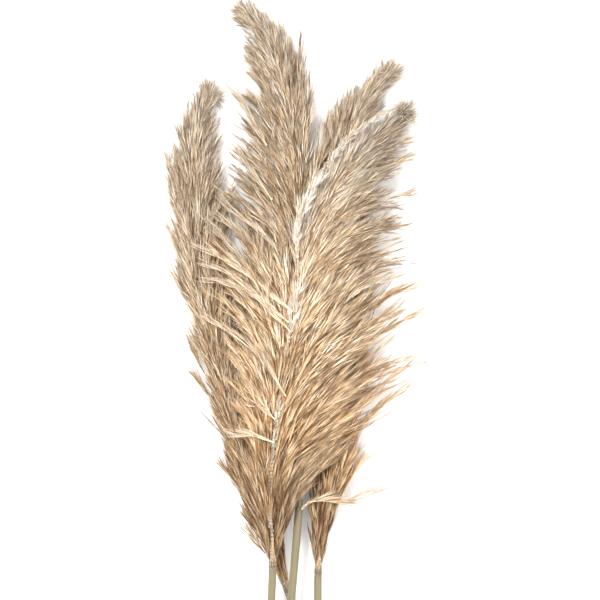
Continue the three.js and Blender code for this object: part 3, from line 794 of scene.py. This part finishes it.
def stemPieces(name, head):
    line = head["line"]
    node = f"stem_{name}"
    s = np.linspace(-line.stemLength, stem["into"], stem["steps"])
    share = (s + line.stemLength) / line.stemLength
    swell = sum(hump((share - at) * line.stemLength / stem["swellLong"]) for at in stem["joints"])
    marks = sum(hump(((share - at) * line.stemLength - stem["markUp"]) / stem["markLong"])
                for at in (*stem["joints"], stem["lastMark"]))
    thick = stem["cutRadius"] + (stem["radius"] - stem["cutRadius"]) * share + stem["swell"] * swell
    values = {"thick": thick[None], "along": (s + line.stemLength)[None],
              "joint": np.clip(marks, 0, 1)[None] * stem["markDark"]}
    guide = guideObject(node + "_cane", [(line.at(s)[0][None], values)])
    place(grown(guide, canes, {"Sides": stem["sides"], "Finish": cane}), node)

    start, along, side, top = line.at(-line.stemLength)
    count = stem["pithSides"]
    turns = [2 * math.pi * k / count for k in range(count)]
    radius = stem["pithWide"] * stem["cutRadius"]
    corners = [start + along * depth + radius * (math.cos(t) * side + math.sin(t) * top)
               for depth in stem["pithEnds"] for t in turns]
    faces = [[(k + 1) % count, k, count + k, count + (k + 1) % count] for k in range(count)]
    faces += [list(range(count)), list(range(2 * count - 1, count - 1, -1))]
    mesh = bpy.data.meshes.new(node + "_pith")
    mesh.from_pydata([(c + shift) * mm for c in corners], [], faces)
    mesh.materials.append(pith)
    place(newObject(mesh.name, mesh), node)


def plumePiece(name, part, sets, look, seed, flossFinish, stalkFinish):
    piece = grown(guideObject(f"plume_{name}_{part}", sets), plumes, {
        "Sprigs": sprigs, "Kinds": sprig["kinds"], "Spacing": look["spacing"] * mm,
        "Lean": math.radians(look["lean"]), "Least Size": look["sizes"][0], "Most Size": look["sizes"][1],
        "Seed": seed, "Floor": sprig["floor"] * mm, "Floss": flossFinish, "Stalk": stalkFinish})
    place(piece, f"plume_{name}")
    return piece


def axisPiece(name, head):
    line = head["line"]
    s = np.linspace(-1, line.length, axis["steps"])
    rings = hump((s / axis["ringEvery"] % 1 - 0.5) / axis["ringLong"])
    thick = axisRadius(line, s) + axis["ringHigh"] * rings * (1 - between(s, 0, line.length))
    worn = axis["worn"] * np.exp(-np.clip(s, 0, None) / axis["wornFade"])
    values = {"thick": thick[None], "along": s[None], "joint": np.maximum(rings * axis["ringDark"], worn)[None]}
    guide = guideObject(f"plume_{name}_axis", [(line.at(s)[0][None], values)])
    place(grown(guide, canes, {"Sides": axis["sides"], "Finish": rachis}), f"plume_{name}")


# Short pale hairs: in lines along an axis that lies bare, and as a collar where a covered one leaves its stem
hairs = {
    "bare": {"lines": 6, "turn": 1.1, "proud": 3}, "collar": {"lines": 12, "turn": 2.86, "proud": 0},
    "steps": 90, "from": -5, "last": 0.97, "collarLong": 8, "collarEnd": 1.3, "collarHigh": 0.05, "clear": 0.2,
    "twist": 0.35, "twistLong": 9, "wide": (0.2, 0.5), "long": (0.2, 0.3), "tufted": (0.3, 1.1), "paleFrom": 0.75,
    "strongAt": [0, 0.15, 0.35, 0.6, 0.8, 1], "strong": [0.3, 0.5, 0.95, 1.1, 0.95, 0.5], "collarStrong": 0.6,
    "rimFrom": (0.06, 0.2), "rimAway": (0.75, 1.1), "rimUp": (0.75, 0.3),  # the lines that leave for the rim
    "waves": (7.3, 31, 19), "thick": 0.1, "lightFrom": 0.78, "lightAt": 0.35,
    "spacing": 4, "lean": 24, "sizes": (0.4, 1.3),
}


def axisHairs(name, head):
    line = head["line"]
    kind = hairs["bare" if head["bare"] else "collar"]
    draw = np.random.default_rng(head["seed"] + 1)
    end = hairs["last"] * line.length if head["bare"] else hairs["collarEnd"] * hairs["collarLong"]
    s = np.linspace(hairs["from"], end, hairs["steps"])[None, :] + np.zeros((kind["lines"], 1))
    share = between(s, 0, line.length)
    turn = np.linspace(-kind["turn"], kind["turn"], kind["lines"])[:, None]
    turn = turn + hairs["twist"] * np.sin(s / hairs["twistLong"] + draw.random((kind["lines"], 1)) * 6)
    point, _, side, top = line.at(s)
    around = axisRadius(line, s) + hairs["clear"]
    onRim = between(share, *(head["leftFeet"] + at for at in hairs["rimFrom"]))
    onRim = onRim * onRim * (3 - 2 * onRim)
    rimAway, rimUp = (np.linspace(*hairs[key], kind["lines"])[:, None] for key in ("rimAway", "rimUp"))
    away = onRim * np.minimum(head["rim"], atStation(head["left"], share)) * rimAway
    raised = onRim * atStation(head["deep"], share) * rimUp + kind["proud"] * (1 - onRim)
    point = point + side * (around * np.sin(turn) - away)[..., None]
    point = point + top * (around * np.cos(turn) + raised)[..., None]
    short, slow, other = hairs["waves"]
    tufts = 0.35 + 0.5 * np.sin(s / short + 3 * np.sin(s / slow)) + 0.5 * np.sin(s / other)
    tufts = np.clip(tufts, 0.05, 1)
    strong = np.interp(share, hairs["strongAt"], hairs["strong"]) if head["bare"] else hairs["collarStrong"]
    (wide, widen), (long, lengthen), (least, tufted) = hairs["wide"], hairs["long"], hairs["tufted"]
    long = strong * (long + lengthen * share) * (least + tufted * tufts)
    long = long + hairs["collarHigh"] * hump(s / hairs["collarLong"])
    tone = hairs["paleFrom"] + (1 - hairs["paleFrom"]) * draw.random(s.shape)
    # painted shade: the hairs' light, darker towards the plume's base and full from lightAt up
    light = hairs["lightFrom"] + (1 - hairs["lightFrom"]) * between(share, 0, hairs["lightAt"])
    values = {"tone": tone, "thick": hairs["thick"] + 0 * s, "bloom": 0 * s,
              "wide": strong * (wide + widen * tufts), "long": long, "light": light}
    plumePiece(name, "axisHairs", [(point, values)], hairs, head["seed"] + 9, down, down)


# The sprigs along the branches: how far apart, how much they lean, and how much their size differs
florets = {"spacing": 7.5, "lean": 7, "sizes": (0.8, 1.15)}

for head in heads.values():
    head["line"] = HeadLine(head)
canes, plumes, sprigs = caneTree(), plumeTree(), sprigVariants()
laid = []
total = 0
for name, head in heads.items():
    stemPieces(name, head)
    axisPiece(name, head)
    axisHairs(name, head)
    sets = [*branchGuides(head, laid), strayGuides(name, laid)]
    for n, part in enumerate(head["parts"]):
        shares = []
        for lines, values, foot in sets:
            group = np.array_split(np.argsort(foot, kind="stable"), len(head["parts"]))[n]
            shares.append((lines[group], {key: value[group] for key, value in values.items()}))
        piece = plumePiece(name, part, shares, florets, head["seed"] + 20 * n, floss, stalk)
        count = sum(len(face.vertices) - 2 for face in piece.data.polygons)
        total += count
        print(piece.name, count, "triangles")
    laid.append(head)
print("plumes", total, "triangles")
for item in list(sprigs.objects):
    bpy.data.objects.remove(item)
bpy.data.collections.remove(sprigs)

# A pale paper floor, soft light from the upper left, and a far camera straight above, as flat as the photo
studio = {
    "camera": 2600, "wide": 660, "middle": (0, 330), "plane": 30,  # the height where the photo's scale holds
    "farthest": 30, "floorWide": 12000, "floor": "#f6f5f3", "room": 1.45, "aim": (0, 0.15, 0),
    "lamps": (("key", (-0.9, 1.0, 2.4), 0.7, 66), ("fill", (1.4, -0.6, 2.2), 2.0, 20)),
}


def makeStudio():
    scene = bpy.context.scene
    mesh = bpy.data.meshes.new("floor")
    half = studio["floorWide"] / 2 * mm
    corners = [(-half, -half, 0), (half, -half, 0), (half, half, 0), (-half, half, 0)]
    mesh.from_pydata(corners, [], [(0, 1, 2, 3)])
    # matt paper gives the eye a plain ground that takes soft shadows
    paper, *_ = newMaterial("pale paper floor", {"Base Color": linear(studio["floor"]), "Roughness": 0.9})
    mesh.materials.append(paper)
    floor = newObject("floor", mesh)

    scene.world = bpy.data.worlds.new("soft room")
    scene.world.use_nodes = True
    room = scene.world.node_tree.nodes["Background"]
    room.inputs["Color"].default_value = (1, 1, 1, 1)
    room.inputs["Strength"].default_value = studio["room"]
    for name, at, size, power in studio["lamps"]:
        light = bpy.data.lights.new(name, "AREA")
        light.size = size
        light.energy = power
        lamp = newObject(name, light)
        lamp.location = at
        x, y, z = np.array(at) - np.array(studio["aim"])
        lamp.rotation_euler = (math.atan2(math.hypot(x, y), z), 0, math.atan2(x, -y))

    lens = bpy.data.cameras.new("above")
    lens.lens = lens.sensor_width * studio["camera"] / studio["wide"]
    lens.clip_end = studio["farthest"]
    camera = newObject("above", lens)
    x, y = (studio["middle"][k] + shift[k] for k in range(2))
    camera.location = [x * mm, y * mm, (studio["camera"] + studio["plane"]) * mm]
    scene.camera = camera
    scene.view_settings.view_transform = "Standard"


makeStudio()
print("studio set")
